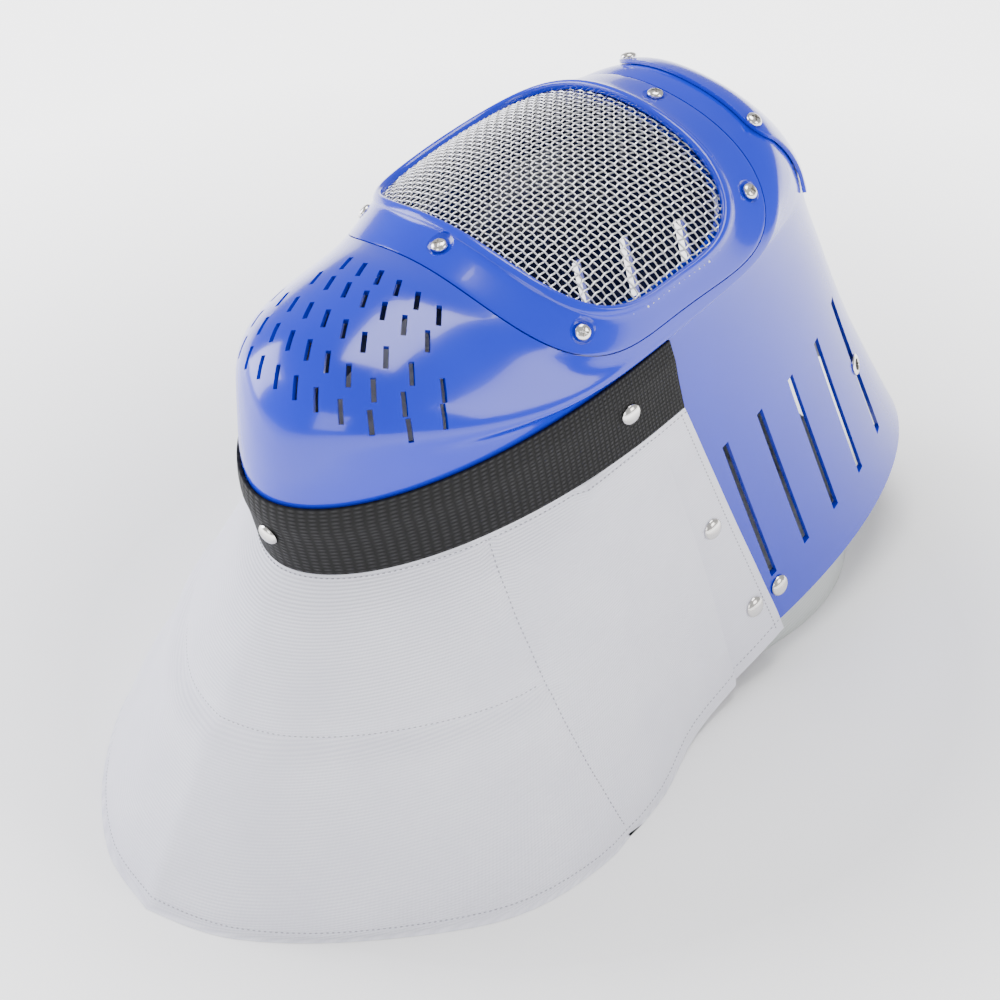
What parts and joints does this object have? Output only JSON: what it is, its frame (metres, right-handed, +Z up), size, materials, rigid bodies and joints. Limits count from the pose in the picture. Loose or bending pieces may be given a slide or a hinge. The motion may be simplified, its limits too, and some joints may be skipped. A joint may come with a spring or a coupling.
{
  "type": "fencing mask",
  "caption": "Fencing mask with a glossy blue moulded shell, a framed woven wire face, vented chin dome, slotted hood, black chin strap and white padded bib.",
  "frame": {"origin": "centre of the bounding box's base, on the floor that the bib's hem stands on", "axes": "+X towards the wearer's left, +Y from the bib's front to the crown, +Z up from the floor through the face, which looks up with the mask lying on its open side"},
  "size_m": [0.2438, 0.4508, 0.2629],
  "materials": {
    "shell": "glossy cobalt blue moulded plastic",
    "window_frame": "glossy cobalt blue moulded plastic",
    "wire_mesh": "bright woven steel wire",
    "crown_cap": "glossy cobalt blue moulded plastic",
    "chin_strap": "black coarse webbing",
    "bib": "white padded cloth with stitched seams",
    "head_band": "pale matte elastic band",
    "frame_screw_chin": "bright nickel plated metal",
    "frame_screw_brow": "bright nickel plated metal",
    "frame_screw_low_left": "bright nickel plated metal",
    "frame_screw_low_right": "bright nickel plated metal",
    "frame_screw_high_left": "bright nickel plated metal",
    "frame_screw_high_right": "bright nickel plated metal",
    "crown_screw_left": "bright nickel plated metal",
    "crown_screw_right": "bright nickel plated metal",
    "strap_rivet_chin": "bright nickel plated metal",
    "strap_rivet_left": "bright nickel plated metal",
    "strap_rivet_right": "bright nickel plated metal",
    "bib_rivet_upper_left": "bright nickel plated metal",
    "bib_rivet_upper_right": "bright nickel plated metal",
    "bib_rivet_lower_left": "bright nickel plated metal",
    "bib_rivet_lower_right": "bright nickel plated metal",
    "band_rivet_left": "bright nickel plated metal",
    "band_rivet_right": "bright nickel plated metal",
    "side_eyelet_left": "bright nickel plated metal",
    "side_eyelet_right": "bright nickel plated metal"
  },
  "bodies": {
    "root": {"shell": "shell", "window_frame": "window_frame", "wire_mesh": "wire_mesh", "crown_cap": "crown_cap", "chin_strap": "chin_strap", "bib": "bib", "head_band": "head_band", "frame_screw_chin": "frame_screw_chin", "frame_screw_brow": "frame_screw_brow", "frame_screw_low_left": "frame_screw_low_left", "frame_screw_low_right": "frame_screw_low_right", "frame_screw_high_left": "frame_screw_high_left", "frame_screw_high_right": "frame_screw_high_right", "crown_screw_left": "crown_screw_left", "crown_screw_right": "crown_screw_right", "strap_rivet_chin": "strap_rivet_chin", "strap_rivet_left": "strap_rivet_left", "strap_rivet_right": "strap_rivet_right", "bib_rivet_upper_left": "bib_rivet_upper_left", "bib_rivet_upper_right": "bib_rivet_upper_right", "bib_rivet_lower_left": "bib_rivet_lower_left", "bib_rivet_lower_right": "bib_rivet_lower_right", "band_rivet_left": "band_rivet_left", "band_rivet_right": "band_rivet_right", "side_eyelet_left": "side_eyelet_left", "side_eyelet_right": "side_eyelet_right"}
  },
  "joints": []
}
